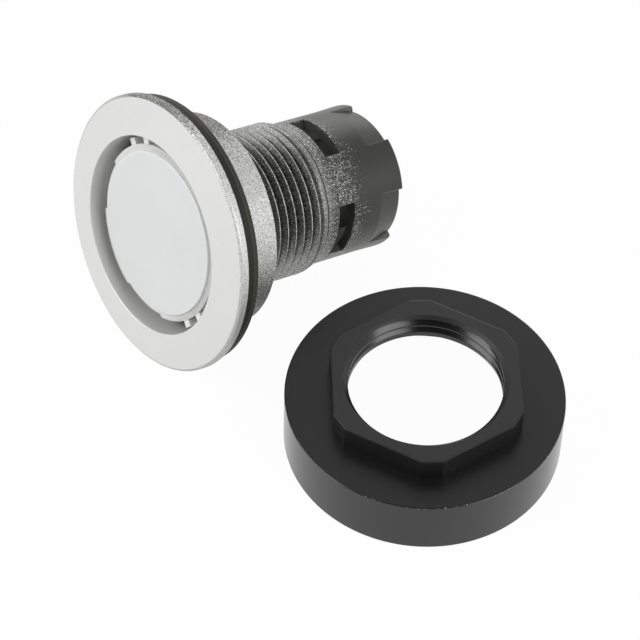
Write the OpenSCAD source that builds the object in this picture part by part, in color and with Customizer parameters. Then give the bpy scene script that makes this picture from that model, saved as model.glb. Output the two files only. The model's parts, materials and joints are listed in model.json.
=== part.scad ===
// Flush illuminated pushbutton head for a 30.5 mm panel hole, with its fixing nut taken off.
// Each piece of the head is drawn upright along Z, button up, with the panel's face at z = 0.
// lay() then tips the head over, as it comes to rest on its flange rim and a tail lug.
// The nut lies flat beside it, hexagon up. Sizes are in millimetres, angles in degrees.

/* [Front flange] */
// Diameter of the flange
flange_d = 39; // [35:0.5:44]
// Thickness of the flange at its rim
flange_rim_t = 1.2; // [0.8:0.1:2]
// Rise of the flange's face from its rim to the button opening
face_rise = 0.95; // [0.4:0.05:1.6]
// Wall between the button opening and the gasket's groove
well_wall = 0.85; // [0.6:0.05:1.2]
// Radius of the flange's outer edge
flange_edge_r = 0.4; // [0.3:0.1:0.9]
// Chamfer of the button opening and of the lens
edge_break = 0.25; // [0.1:0.05:0.4]

/* [Panel gasket] */
// Thickness of the gasket
gasket_t = 2.2; // [1:0.1:2.8]
// How far the gasket's edge stays inside the flange's edge
gasket_inset = 0.55; // [0.5:0.05:2]
// Depth of the groove that keeps the gasket on the shoulder
gasket_grip = 0.2; // [0.1:0.05:0.3]
// Gap between the gasket's rear face and the shoulder
gasket_gap = 0.1; // [0.05:0.05:0.3]

/* [Shoulder and neck] */
// Diameter of the shoulder that fills the panel's hole
shoulder_d = 30.1; // [29.8:0.05:30.4]
// Length of the shoulder behind the panel's face
shoulder_len = 6.1; // [6:0.1:9]
// Chamfer of the shoulder's rear edge
shoulder_break = 0.3; // [0.1:0.1:0.6]
// Gap left over the floor of the well when the button is pressed
floor_gap = 0.55; // [0.3:0.05:0.8]
// Length of the neck behind the shoulder
neck_len = 12.7; // [12:0.1:18]
// Outer diameter of the thread
thread_d = 22; // [19:0.1:24]
// Pitch of the thread
pitch = 1.4; // [1.2:0.1:1.6]
// Width of the flat on a thread's crest
crest_flat = 0.16; // [0.1:0.02:0.3]
// Plain run behind the last thread
runout = 1.7; // [1.4:0.1:2.4]
// Plain run between the shoulder and the first thread
relief = 1; // [0.8:0.1:2]
// Wall of the neck between its thread and the sleeve's spigot
neck_wall = 0.94; // [0.8:0.02:1.2]
// Ledge in the neck that stops the sleeve's spigot
ledge = 0.55; // [0.3:0.05:0.9]

/* [Tail sleeve] */
// Step from the thread's crests down to the sleeve
sleeve_step = 0.7; // [0.4:0.05:0.9]
// Length of the sleeve behind the neck
sleeve_len = 13.7; // [13:0.1:20]
// Wall of the sleeve
sleeve_wall = 1.4; // [1.2:0.1:1.6]
// Gap of the seam between neck and sleeve
seam_gap = 0.1; // [0.05:0.05:0.2]
// Length of the spigot that plugs into the neck
spigot_len = 3; // [2.6:0.1:4]
// Step from the sleeve up to the end of the neck
neck_step = 0.15; // [0.05:0.05:0.3]
// Height of the bead that snaps the spigot into the neck
bead_h = 0.2; // [0.1:0.05:0.25]
// Thickness of the web behind the spigot
web_t = 1.5; // [1:0.1:1.8]
// Gap between the spigot and its socket
fit_gap = 0.05; // [0.03:0.01:0.1]
// Number of windows round the sleeve, and of lugs at its end
window_count = 4; // [3:1:4]
// Angle that one window spans
window_arc = 49; // [40:1:55]
// Distance from the seam to the windows
window_set = 2.05; // [1.9:0.05:3]
// Length of the windows along the sleeve
window_len = 2.7; // [2:0.1:4]
// Rise of the lugs over the sleeve
lug_rise = 0.1; // [0.05:0.05:0.6]
// Angle that one lug spans
lug_arc = 41; // [35:1:50]
// Length of a lug along the sleeve
lug_len = 4.2; // [3:0.1:5]
// Length of the flat behind a lug's ramp
lug_flat = 1.2; // [0.8:0.1:2]
// Drop of the tapered tail between the lugs
tail_taper = 0.7; // [0.3:0.05:0.9]
// Chamfer of the tail's edges
tail_break = 0.3; // [0.1:0.1:0.4]

/* [Button] */
// How far the button may be pressed
travel = 3.5; // [2:0.1:3.8]
// Depth of the lens face below the opening's edge
lens_sink = 1.2; // [0.8:0.1:1.8]
// Thickness of the lens
lens_t = 1; // [0.8:0.1:1.4]
// Height of the lens with its skirt
lens_h = 3; // [2.8:0.1:3.4]
// Thickness of the skirt
skirt_t = 1.1; // [0.8:0.1:1.5]
// Gap between the lens rim and the opening
rim_gap = 1.9; // [1.6:0.1:2.4]
// Gap between the rim tabs and the opening
tab_gap = 1.5; // [1:0.1:1.5]
// Width of the rim round the lens face
rim_w = 0.5; // [0.3:0.1:0.8]
// Drop from the lens face to the rim
rim_drop = 0.4; // [0.2:0.1:0.6]
// Thickness of the rim and its tabs
rim_t = 1.1; // [0.6:0.1:1.4]
// Angle that one rim tab spans
tab_arc = 53; // [40:1:60]
// Drop of the tabs and pegs below the rim of the lens
tab_drop = 0.05; // [0.05:0.05:0.3]
// Turn of the first rim tab
tab_turn = 45; // [0:1:90]
// Gap between the guide pegs and the opening
peg_gap = 0.5; // [0.3:0.1:0.8]
// Width of a guide peg
peg_w = 0.75; // [0.5:0.05:1]
// Height of a guide peg
peg_h = 1.6; // [1:0.1:2]
// Thickness of the diffuser disc
diffuser_t = 0.7; // [0.5:0.1:1]

/* [Plunger] */
// Thickness of the carrier flange under the lens
carrier_t = 1; // [0.8:0.1:1.2]
// Gap between the carrier flange and the opening
carrier_gap = 0.6; // [0.4:0.1:1]
// Length of the hub that runs in the neck
hub_len = 7; // [6.6:0.1:7.4]
// Gap between the hub and the neck's bore
hub_gap = 0.25; // [0.15:0.05:0.4]
// Room between the stem and the neck's bore, where the spring stands
spring_room = 2; // [1.8:0.1:2.4]
// Wall of the stem, round the bore that the lamp shines through
stem_wall = 1.4; // [1:0.1:2]
// Gap between the stem and the web that guides it
guide_gap = 0.3; // [0.1:0.05:0.4]
// Gap between the snap hooks and the inside of the sleeve
hook_clear = 0.4; // [0.3:0.05:1]
// Length of a snap hook
hook_len = 2.8; // [1.5:0.1:3]
// Angle that one snap hook spans
hook_arc = 72; // [30:1:76]
// Width of the slits between the hooks
slit_w = 1.4; // [1:0.1:2]
// Thickness of the seal's round section
seal_t = 1.1; // [0.9:0.1:1.2]
// Distance from the hub's rear to the middle of the seal
seal_set = 1.2; // [1.1:0.1:2]
// Gap between the seal and the neck's bore
seal_gap = 0.05; // [0.03:0.01:0.1]
// Wire of the return spring
wire_d = 0.7; // [0.5:0.05:0.8]
// Turns of the return spring
spring_turns = 5; // [4:0.5:6]

/* [Fixing nut] */
// Diameter of the nut
nut_d = 38.2; // [36:0.1:42]
// Height of the nut's rim
nut_h = 8.8; // [7.6:0.1:12]
// Height of the hexagon above the rim
hex_h = 3.3; // [3:0.05:6]
// Width of the hexagon across its flats
hex_af = 25.5; // [25:0.1:27]
// Diameter that the hexagon's corners are turned to
hex_corner_d = 27.8; // [27.2:0.1:30]
// Thickness of the nut's wall under the hexagon
nut_web = 1.4; // [1:0.1:2.4]
// Gap between the shoulder and the hollow in the nut
nut_clear = 2.2; // [0.5:0.1:2.4]
// Play between the nut's thread and the neck's
thread_play = 0.4; // [0.1:0.05:0.5]
// Chamfer of the nut's outer edges
nut_break = 0.2; // [0.1:0.1:0.8]
// Chamfer that leads into the nut's thread from the hexagon's top
lead_in = 0.65; // [0.4:0.05:0.8]
// Chamfer that leads into the nut's thread from the hollow
rear_lead_in = 0.9; // [0.4:0.1:1]

/* [How it lies] */
// Turn of the head about its own axis, which sets a lug on the surface
roll = 3.9; // [0:0.1:8]
// Place of the nut to the right of the head
nut_x = 37.2; // [36:0.1:50]
// Place of the nut behind the panel's face
nut_y = 15.6; // [0:0.1:30]
// Turn of the nut's hexagon
nut_turn = 26.4; // [0:0.1:60]

/* [Hidden] */
$fn = 96;
// Spare length that a cutting shape reaches past what it cuts
past = 1;

// Levels and radii of the housing, from the front to the rear
flange_r = flange_d / 2;
shoulder_r = shoulder_d / 2;
front_z = gasket_t + flange_rim_t;
face_z = front_z + face_rise;
gasket_seat_r = shoulder_r - gasket_grip;
opening_r = gasket_seat_r - well_wall;
shoulder_z = -shoulder_len;
neck_z = shoulder_z - neck_len;

// The flange's outer edge: its arc meets the sloped face and the rim smoothly
face_slope = atan(face_rise / (flange_r - opening_r - edge_break));
edge_x = flange_r - flange_edge_r;
edge_z = face_z - (edge_x - opening_r - edge_break) * tan(face_slope) - flange_edge_r / cos(face_slope);
edge_steps = 8;

// Thread of the neck: ridges of a 60 degree thread, one pitch apart
thread_r = thread_d / 2;
thread_depth_ratio = 0.613;
thread_depth = thread_depth_ratio * pitch;
root_r = thread_r - thread_depth;
crest_count = floor((neck_len - runout - relief) / pitch) + 1;
last_crest_z = neck_z + runout;
runout_root_r = thread_r - thread_depth / 2;
runout_land = 0.45;
runout_drop = 0.05;

// Inside of the neck: the socket for the sleeve's spigot, a ledge, and the plunger's bore
spigot_r = root_r - neck_wall - fit_gap;
neck_bore_r = spigot_r - ledge;

// Tail sleeve
sleeve_r = thread_r - sleeve_step;
neck_end_r = sleeve_r + neck_step;
sleeve_z = neck_z - seam_gap;
tail_z = sleeve_z - sleeve_len;
tail_r = sleeve_r - tail_taper;
lug_r = sleeve_r + lug_rise;
lug_z = tail_z + lug_len;
cavity_r = sleeve_r - sleeve_wall;
web_z = sleeve_z - web_t;
spigot_z = sleeve_z + spigot_len;
bead_z = sleeve_z + spigot_len / 2;
bead_half = 2 * bead_h;
window_step = 360 / window_count;
// The first window faces sideways, and the lugs stand between the windows
lug_turn = window_step / 2;

// Button and plunger, from the front to the rear
lens_z = face_z - lens_sink;
lens_r = opening_r - rim_gap;
lens_face_r = lens_r - rim_w;
tab_r = opening_r - tab_gap;
peg_r = opening_r - peg_gap;
skirt_r = lens_r - skirt_t;
// Tabs and pegs are rooted in the middle of the skirt's wall
tab_root_r = lens_r - skirt_t / 2;
skirt_z = lens_z - lens_h;
lens_back_z = lens_z - lens_t;
diffuser_z = lens_back_z - diffuser_t;
tab_count = 4;
// Guide pegs lie in pairs on two opposite tabs, turned from the line between the other two
peg_turns = [-88, -74, 74, 88];
plug_gap = 0.1;
plug_r = skirt_r - plug_gap;
carrier_r = opening_r - carrier_gap;
carrier_z = skirt_z - carrier_t;
well_z = carrier_z - travel - floor_gap;
hub_r = neck_bore_r - hub_gap;
hub_z = carrier_z - hub_len;
stem_r = neck_bore_r - spring_room;
stem_spare = 0.1;
stem_z = tail_z + travel + stem_spare;
light_r = stem_r - stem_wall;
light_mouth_r = plug_r - skirt_t;
guide_r = stem_r + guide_gap;
hook_gap = 0.15;
hook_z = web_z - hook_gap;
hook_r = cavity_r - hook_clear;
hook_tip = 0.2;
hook_root_r = (stem_r + light_r) / 2;

// Seal in its groove near the rear of the hub
seal_ring_r = neck_bore_r - seal_gap - seal_t / 2;
seal_groove_r = seal_ring_r - seal_t / 2 - seal_gap;
seal_room = 0.3;
seal_groove_w = seal_t + seal_room;
seal_z = hub_z + seal_set;

// Return spring between the hub and the spigot
spring_r = (stem_r + neck_bore_r) / 2;
seat_gap = 0.05;
spring_z = spigot_z + seat_gap + wire_d / 2;
spring_len = hub_z - seat_gap - wire_d / 2 - spring_z;
coil_gap = 0.05;
closed_rise = wire_d + coil_gap;
wire_sides = 8;
turn_steps = 24;

// The tilt that sets the flange rim and a tail lug on one surface, and that surface's level
bottom_turn = 270;
lug_edge_turns = [for (k = [0 : window_count - 1])
    max(0, abs(lug_turn + k * window_step + roll - bottom_turn) - lug_arc / 2)];
lug_reach = lug_r * cos(min(lug_edge_turns));
lug_rest_z = tail_z + tail_break;
tilt = atan((flange_r - lug_reach) / (gasket_t - lug_rest_z));
surface_z = gasket_t * sin(tilt) - flange_r * cos(tilt);

// Fixing nut, with z = 0 on the surface that it lies on
nut_r = nut_d / 2;
nut_hollow_r = shoulder_r + nut_clear;
nut_hollow_z = nut_h - nut_web;
nut_top_z = nut_h + hex_h;
nut_bore_r = root_r + thread_play;
hex_corner_r = hex_corner_d / 2;

// Tips an upright piece of the head over into the way it lies.
module lay() {
    rotate([90 - tilt, 0, 0]) rotate([0, 0, roll]) children();
}

// A ring sector of the given section, centred on the turn.
module sector(turn, arc) {
    rotate([0, 0, turn - arc / 2]) rotate_extrude(angle = arc) children();
}

// Half section of one thread ridge: its two crest corners and the root behind it.
function ridge(z) = [[thread_r, z + crest_flat / 2],
                     [thread_r, z - crest_flat / 2],
                     [root_r, z - pitch / 2]];

// Ridges from the shoulder to the last one, joined root to root. The last root is shallower.
function ridges() = [for (k = [crest_count - 1 : -1 : 1]) each ridge(last_crest_z + k * pitch)];

// Housing: flange, shoulder and threaded neck moulded as one piece.
module housing() {
    face = [[opening_r, face_z - edge_break],
            [opening_r + edge_break, face_z],
            for (k = [0 : edge_steps])
                let (turn = (90 - face_slope) * (1 - k / edge_steps))
                [edge_x + flange_edge_r * cos(turn), edge_z + flange_edge_r * sin(turn)],
            [flange_r, gasket_t]];
    shoulder = [[gasket_seat_r, gasket_t],
                [gasket_seat_r, 0],
                [shoulder_r, 0],
                [shoulder_r, shoulder_z + shoulder_break],
                [shoulder_r - shoulder_break, shoulder_z],
                [root_r, shoulder_z],
                [root_r, last_crest_z + (crest_count - 0.5) * pitch]];
    neck_end = [[thread_r, last_crest_z + crest_flat / 2],
                [thread_r, last_crest_z - crest_flat / 2],
                [runout_root_r, last_crest_z - pitch / 4],
                [thread_r - runout_drop, last_crest_z - pitch / 4 - runout_land],
                [(thread_r + neck_end_r) / 2, neck_z + runout_land],
                [neck_end_r, neck_z]];
    socket_r = spigot_r + fit_gap;
    socket_z = spigot_z + fit_gap;
    socket = [[socket_r, neck_z],
              [socket_r, bead_z - bead_half],
              [socket_r + bead_h, bead_z],
              [socket_r, bead_z + bead_half],
              [socket_r, socket_z]];
    well = [[neck_bore_r, socket_z], [neck_bore_r, well_z], [opening_r, well_z]];
    color("silver") lay() rotate_extrude()
        polygon(concat(face, shoulder, ridges(), neck_end, socket, well));
}

// Rubber ring that seals the flange on the panel. Its rear face starts outside the shoulder.
module panel_gasket() {
    outer_r = flange_r - gasket_inset;
    chamfer = gasket_grip + gasket_gap;
    color([0.13, 0.13, 0.12]) lay() rotate_extrude()
        polygon([[gasket_seat_r, gasket_t],
                 [gasket_seat_r, chamfer],
                 [gasket_seat_r + chamfer, 0],
                 [outer_r, 0],
                 [outer_r, gasket_t]]);
}

// Button cap: a flat lens face, a lower rim with wide tabs, guide pegs and a skirt.
module lens_cap() {
    rim_top_z = lens_z - rim_drop;
    tab_top_z = rim_top_z - tab_drop;
    color([0.93, 0.94, 0.95]) lay() union() {
        rotate_extrude() polygon([[0, lens_back_z],
                                  [0, lens_z],
                                  [lens_face_r - edge_break, lens_z],
                                  [lens_face_r, lens_z - edge_break],
                                  [lens_face_r, rim_top_z],
                                  [lens_r, rim_top_z],
                                  [lens_r, skirt_z],
                                  [skirt_r, skirt_z],
                                  [skirt_r, lens_back_z]]);
        for (k = [0 : tab_count - 1])
            sector(tab_turn + k * 360 / tab_count, tab_arc)
                translate([tab_root_r, tab_top_z - rim_t]) square([tab_r - tab_root_r, rim_t]);
        for (turn = peg_turns)
            rotate([0, 0, tab_turn + turn])
                translate([tab_root_r, -peg_w / 2, tab_top_z - peg_h])
                    cube([peg_r - tab_root_r, peg_w, peg_h]);
    }
}

// White disc under the lens that spreads the lamp's light.
module diffuser_disc() {
    color("white") lay()
        translate([0, 0, diffuser_z]) cylinder(r = plug_r, h = diffuser_t);
}

// Half section of the plunger's solid of revolution, open along the light bore.
module plunger_section() {
    seal_low_z = seal_z - seal_groove_w / 2;
    seal_high_z = seal_z + seal_groove_w / 2;
    polygon([[light_mouth_r, diffuser_z],
             [plug_r, diffuser_z],
             [plug_r, skirt_z],
             [carrier_r, skirt_z],
             [carrier_r, carrier_z],
             [hub_r, carrier_z],
             [hub_r, seal_high_z],
             [seal_groove_r, seal_high_z],
             [seal_groove_r, seal_low_z],
             [hub_r, seal_low_z],
             [hub_r, hub_z],
             [stem_r, hub_z],
             [stem_r, stem_z],
             [light_r, stem_z],
             [light_r, carrier_z],
             [light_mouth_r, skirt_z]]);
}

// Plunger: the carrier that the lens sits on, its hub, and a hollow stem with snap hooks.
module plunger() {
    color([0.2, 0.2, 0.21]) lay() difference() {
        union() {
            rotate_extrude() plunger_section();
            for (k = [0 : window_count - 1])
                sector(k * window_step, hook_arc)
                    polygon([[hook_root_r, hook_z],
                             [hook_r, hook_z],
                             [stem_r + hook_tip, hook_z - hook_len],
                             [hook_root_r, hook_z - hook_len]]);
        }
        for (k = [0 : window_count - 1])
            rotate([0, 0, lug_turn + k * window_step])
                translate([0, -slit_w / 2, stem_z - past])
                    cube([stem_r + past, slit_w, web_z - stem_z + past]);
    }
}

// Round rubber ring in the hub's groove.
module plunger_seal() {
    color([0.12, 0.12, 0.12]) lay()
        rotate_extrude() translate([seal_ring_r, seal_z]) circle(d = seal_t);
}

// Height of the spring's wire over its lower end after so many turns: closed, open, closed.
function coil_rise(turns) =
    turns < 1 ? turns * closed_rise :
    turns > spring_turns - 1 ? spring_len - (spring_turns - turns) * closed_rise :
    closed_rise + (turns - 1) / (spring_turns - 2) * (spring_len - 2 * closed_rise);

// One ring of points round the spring's wire.
function wire_ring(turns) = [for (k = [0 : wire_sides - 1])
    let (reach = spring_r + wire_d / 2 * cos(360 * k / wire_sides),
         level = spring_z + coil_rise(turns) + wire_d / 2 * sin(360 * k / wire_sides))
    [reach * cos(360 * turns), reach * sin(360 * turns), level]];

// Return spring: wire swept along a helix with closed ends.
module return_spring() {
    rings = ceil(spring_turns * turn_steps);
    points = [for (i = [0 : rings]) each wire_ring(spring_turns * i / rings)];
    walls = [for (i = [0 : rings - 1], k = [0 : wire_sides - 1])
        let (low = i * wire_sides, high = low + wire_sides, next = (k + 1) % wire_sides)
        each [[low + k, high + k, high + next], [low + k, high + next, low + next]]];
    first_cap = [for (k = [0 : wire_sides - 1]) k];
    last_cap = [for (k = [wire_sides - 1 : -1 : 0]) rings * wire_sides + k];
    color([0.75, 0.76, 0.78]) lay() polyhedron(points, concat(walls, [first_cap, last_cap]));
}

// Half section of the sleeve, with its spigot and the web that guides the stem.
module sleeve_section() {
    polygon([[guide_r, spigot_z],
             [spigot_r, spigot_z],
             [spigot_r, bead_z + bead_half],
             [spigot_r + bead_h, bead_z],
             [spigot_r, bead_z - bead_half],
             [spigot_r, sleeve_z],
             [sleeve_r, sleeve_z],
             [sleeve_r, lug_z],
             [tail_r, tail_z + tail_break],
             [tail_r - tail_break, tail_z],
             [cavity_r, tail_z],
             [cavity_r, web_z],
             [guide_r, web_z]]);
}

// Tail sleeve: windows over the snap hooks, and ramped lugs that hold what clips on behind.
module bayonet_sleeve() {
    color([0.27, 0.27, 0.26]) lay() {
        difference() {
            rotate_extrude() sleeve_section();
            for (k = [0 : window_count - 1])
                sector(k * window_step, window_arc)
                    translate([cavity_r - past / 2, sleeve_z - window_set - window_len])
                        square([sleeve_wall + past, window_len]);
        }
        for (k = [0 : window_count - 1])
            sector(lug_turn + k * window_step, lug_arc)
                polygon([[cavity_r, lug_z],
                         [sleeve_r, lug_z],
                         [lug_r, tail_z + lug_flat],
                         [lug_r, tail_z + tail_break],
                         [lug_r - tail_break, tail_z],
                         [cavity_r, tail_z]]);
    }
}

// Solid of the hexagon boss: flats, turned corners and a chamfer round its top.
module hex_boss() {
    intersection() {
        translate([0, 0, nut_hollow_z]) linear_extrude(nut_web + hex_h) intersection() {
            circle(d = hex_af / cos(30), $fn = 6);
            circle(r = hex_corner_r);
        }
        union() {
            cylinder(r = nut_r, h = nut_top_z - nut_break);
            translate([0, 0, nut_top_z - nut_break])
                cylinder(r1 = hex_corner_r, r2 = hex_corner_r - nut_break, h = nut_break);
        }
    }
}

// Half section of the nut's cup, closed to the axis where the hexagon stands on it.
module cup_section() {
    polygon([[0, nut_hollow_z],
             [nut_hollow_r, nut_hollow_z],
             [nut_hollow_r, 0],
             [nut_r - nut_break, 0],
             [nut_r, nut_break],
             [nut_r, nut_h - nut_break],
             [nut_r - nut_break, nut_h],
             [0, nut_h]]);
}

// Fixing nut: a cup that reaches over the shoulder, with a threaded hexagon boss.
module fixing_nut() {
    color([0.12, 0.12, 0.12])
        translate([nut_x, nut_y, surface_z]) rotate([0, 0, nut_turn]) difference() {
            union() {
                rotate_extrude() cup_section();
                hex_boss();
            }
            translate([0, 0, nut_hollow_z - past]) cylinder(r = nut_bore_r, h = nut_top_z);
            translate([0, 0, nut_hollow_z])
                cylinder(r1 = nut_bore_r + rear_lead_in, r2 = nut_bore_r, h = rear_lead_in);
            translate([0, 0, nut_top_z - lead_in])
                cylinder(r1 = nut_bore_r, r2 = nut_bore_r + lead_in, h = lead_in);
        }
}

housing();
panel_gasket();
lens_cap();
diffuser_disc();
plunger();
plunger_seal();
return_spring();
bayonet_sleeve();
fixing_nut();
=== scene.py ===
# %% [markdown]
# # A flush pushbutton head and its fixing nut
# This lesson dresses a small panel control in Blender: a silver painted head with a white lens, a
# screw thread and a black slotted tail, lying beside its black plastic nut. The sizes come from a
# imported model that is already right, so the work here is edges, threads, finishes and light.
# The first cell loads that model as a fixed frame, with a helper that reads a part's box.

# %% Load the frame
import json
import math

import bmesh
import bpy
from mathutils import Matrix, Vector


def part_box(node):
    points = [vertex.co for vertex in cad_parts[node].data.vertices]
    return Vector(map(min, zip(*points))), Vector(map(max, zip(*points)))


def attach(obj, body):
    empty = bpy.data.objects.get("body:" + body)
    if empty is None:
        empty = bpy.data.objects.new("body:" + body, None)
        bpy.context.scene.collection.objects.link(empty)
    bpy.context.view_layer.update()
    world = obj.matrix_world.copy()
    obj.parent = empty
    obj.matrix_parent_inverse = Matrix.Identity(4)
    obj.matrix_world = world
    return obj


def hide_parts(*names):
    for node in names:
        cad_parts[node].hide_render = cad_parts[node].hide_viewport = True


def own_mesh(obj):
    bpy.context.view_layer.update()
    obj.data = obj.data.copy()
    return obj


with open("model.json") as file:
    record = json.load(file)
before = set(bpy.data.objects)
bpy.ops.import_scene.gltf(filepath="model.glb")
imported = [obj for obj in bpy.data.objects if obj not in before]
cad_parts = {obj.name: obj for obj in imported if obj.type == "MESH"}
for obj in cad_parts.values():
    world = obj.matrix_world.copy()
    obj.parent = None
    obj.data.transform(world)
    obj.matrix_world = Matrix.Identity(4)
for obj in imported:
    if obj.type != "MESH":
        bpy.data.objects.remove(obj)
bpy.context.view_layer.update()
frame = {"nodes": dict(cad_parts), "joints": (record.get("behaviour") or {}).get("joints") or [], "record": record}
mounts = {mount["name"]: mount for mount in frame["record"]["mounts"]}
print("nodes:", ", ".join(sorted(frame["nodes"])))

# %% [markdown]
# ## Upright frames
# The head lies tipped over, which makes every section awkward to draw. Each piece is drawn upright
# instead, in millimetres, with the switch's axis along Z and the panel's face at zero. One matrix
# then lays the finished piece down. The press joint gives the axis, so nothing is fitted by eye. The
# nut has a frame of its own, which stands on the surface it lies on.

# %% Matrices that lay the head and the nut in place
MM = 0.001
HEAD_ROLL = math.radians(3.9)
NUT_TURN = math.radians(26.4)

head_z = -Vector(frame["joints"][0]["axis"])
head_x = Vector((1, 0, 0))
head_y = head_z.cross(head_x)
tipped = Matrix((head_x, head_y, head_z)).transposed()
HEAD = (tipped @ Matrix.Rotation(HEAD_ROLL, 3, "Z")).to_4x4() @ Matrix.Scale(MM, 4)

nut_foot = Vector(mounts["nut_thread"]["pos_m"])
nut_foot.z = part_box("fixing_nut")[0].z
NUT = Matrix.Translation(nut_foot) @ Matrix.Rotation(NUT_TURN, 4, "Z") @ Matrix.Scale(MM, 4)


def span(node, place):
    """Lowest level, highest level and outer radius of a node in its upright frame, in millimetres."""
    back = place.inverted()
    points = [back @ vert.co for vert in frame["nodes"][node].data.vertices]
    levels = [point.z for point in points]
    return min(levels), max(levels), max(point.xy.length for point in points)


neck_z, face_z, flange_r = span("housing", HEAD)
_, gasket_t, gasket_r = span("panel_gasket", HEAD)
skirt_z, lens_z, peg_r = span("lens_cap", HEAD)
tail_z, spigot_z, lug_r = span("bayonet_sleeve", HEAD)
_, nut_top_z, nut_r = span("fixing_nut", NUT)
print(f"head: {face_z:.2f} down to {tail_z:.2f}, flange radius {flange_r:.2f}; nut {nut_top_z:.2f} high")

# %% [markdown]
# ## Drawing with a section
# Nearly every piece here was turned or moulded round an axis. The plain way to model such a thing is
# to draw half of its section as a wire, round the wire's corners with a vertex bevel, and spin it.
# Rounding the wire first is cheaper than bevelling the finished mesh, and never runs into itself.

# %% Helpers for sections
WELD = 0.0005
ROUND_SEGMENTS = 4


def round_off(bm, geom, width, segments, affect="EDGES", clamp=False):
    """Bevels edges or corners with a round profile."""
    bmesh.ops.bevel(bm, geom=geom, offset=width, offset_type="OFFSET", profile=0.5, segments=segments,
                    affect=affect, material=-1, clamp_overlap=clamp)


def draw_section(bm, corners, closed=False):
    """Joins corners into a wire. A corner is (radius, level), with a third number to round it off."""
    verts = [bm.verts.new((corner[0], 0, corner[1])) for corner in corners]
    edges = [bm.edges.new(pair) for pair in zip(verts, verts[1:])]
    if closed:
        edges.append(bm.edges.new((verts[-1], verts[0])))
    for vert, corner in zip(verts, corners):
        if len(corner) > 2:
            round_off(bm, [vert], corner[2], ROUND_SEGMENTS, "VERTICES")


def revolve(bm, steps):
    """Spins everything drawn so far once round the axis."""
    bmesh.ops.spin(bm, geom=bm.verts[:] + bm.edges[:], cent=(0, 0, 0), axis=(0, 0, 1),
                   angle=2 * math.pi, steps=steps, use_merge=True)
    bmesh.ops.remove_doubles(bm, verts=bm.verts, dist=WELD)


def loop_at(bm, level):
    """The open edges that lie at one level."""
    return [edge for edge in bm.edges if edge.is_boundary
            and all(abs(vert.co.z - level) < WELD for vert in edge.verts)]


def set_radius(vert, radius):
    """Moves a vertex straight towards the axis or away from it."""
    share = radius / vert.co.xy.length
    vert.co.x *= share
    vert.co.y *= share


# %% [markdown]
# ## Finishing a piece
# Each mesh is welded, its faces are turned outwards, and it is laid into the shared frame. The piece
# then rides on its body, takes the place of its plain solid and gets its finish. Faces are smooth,
# with sharp edges kept wherever two faces meet at more than a set angle. The angle is small, so that
# a narrow bevel doesn't bend the shading of the flat face beside it.

# %% Helper that finishes a piece
SHARP = math.radians(10)


def finish_piece(bm, name, place, body, node, material, sharp=SHARP):
    """Turns a drawing into a finished object that stands for one node."""
    bmesh.ops.remove_doubles(bm, verts=bm.verts, dist=WELD)
    bmesh.ops.recalc_face_normals(bm, faces=bm.faces)
    open_edges = sum(1 for edge in bm.edges if not edge.is_manifold)
    bmesh.ops.transform(bm, matrix=place, verts=bm.verts)
    mesh = bpy.data.meshes.new(name)
    bm.to_mesh(mesh)
    bm.free()
    mesh.shade_smooth()
    mesh.set_sharp_from_angle(angle=sharp)
    mesh.materials.append(material)
    piece = bpy.data.objects.new(name, mesh)
    bpy.context.scene.collection.objects.link(piece)
    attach(piece, body)
    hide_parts(node)
    print(f"{name}: {len(mesh.polygons)} faces, {open_edges} open edges")
    return piece


# %% [markdown]
# ## Shader maths in Python
# A finish is easier to read as a formula than as a list of links. A small class wraps a socket, so
# that plain operators add the Math nodes. A second one holds a material's graph and adds any other
# node. Object coordinates, turned back upright and counted in millimetres, place every mask.

# %% Classes for finishes
CELL_FADE = 0.06
SPECK_R = 0.3
SPECK_GROWTH = 0.35
SPECK_FADE = 0.2


class Value:
    """One socket's number, on which Python's operators work."""

    def __init__(self, graph, socket):
        self.graph = graph
        self.socket = socket

    def maths(self, operation, *terms):
        return self.graph.node("ShaderNodeMath", {"operation": operation}, dict(enumerate(terms)))

    def larger(self, other):
        return self.maths("MAXIMUM", self, other)

    def __abs__(self):
        return self.maths("ABSOLUTE", self)

    def __add__(self, other):
        return self.maths("ADD", self, other)

    def __sub__(self, other):
        return self.maths("SUBTRACT", self, other)

    def __rsub__(self, other):
        return self.maths("SUBTRACT", other, self)

    def __mul__(self, other):
        return self.maths("MULTIPLY", self, other)

    def __truediv__(self, other):
        return self.maths("DIVIDE", self, other)

    def __pow__(self, other):
        return self.maths("POWER", self, other)

    __radd__ = __add__
    __rmul__ = __mul__


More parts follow.
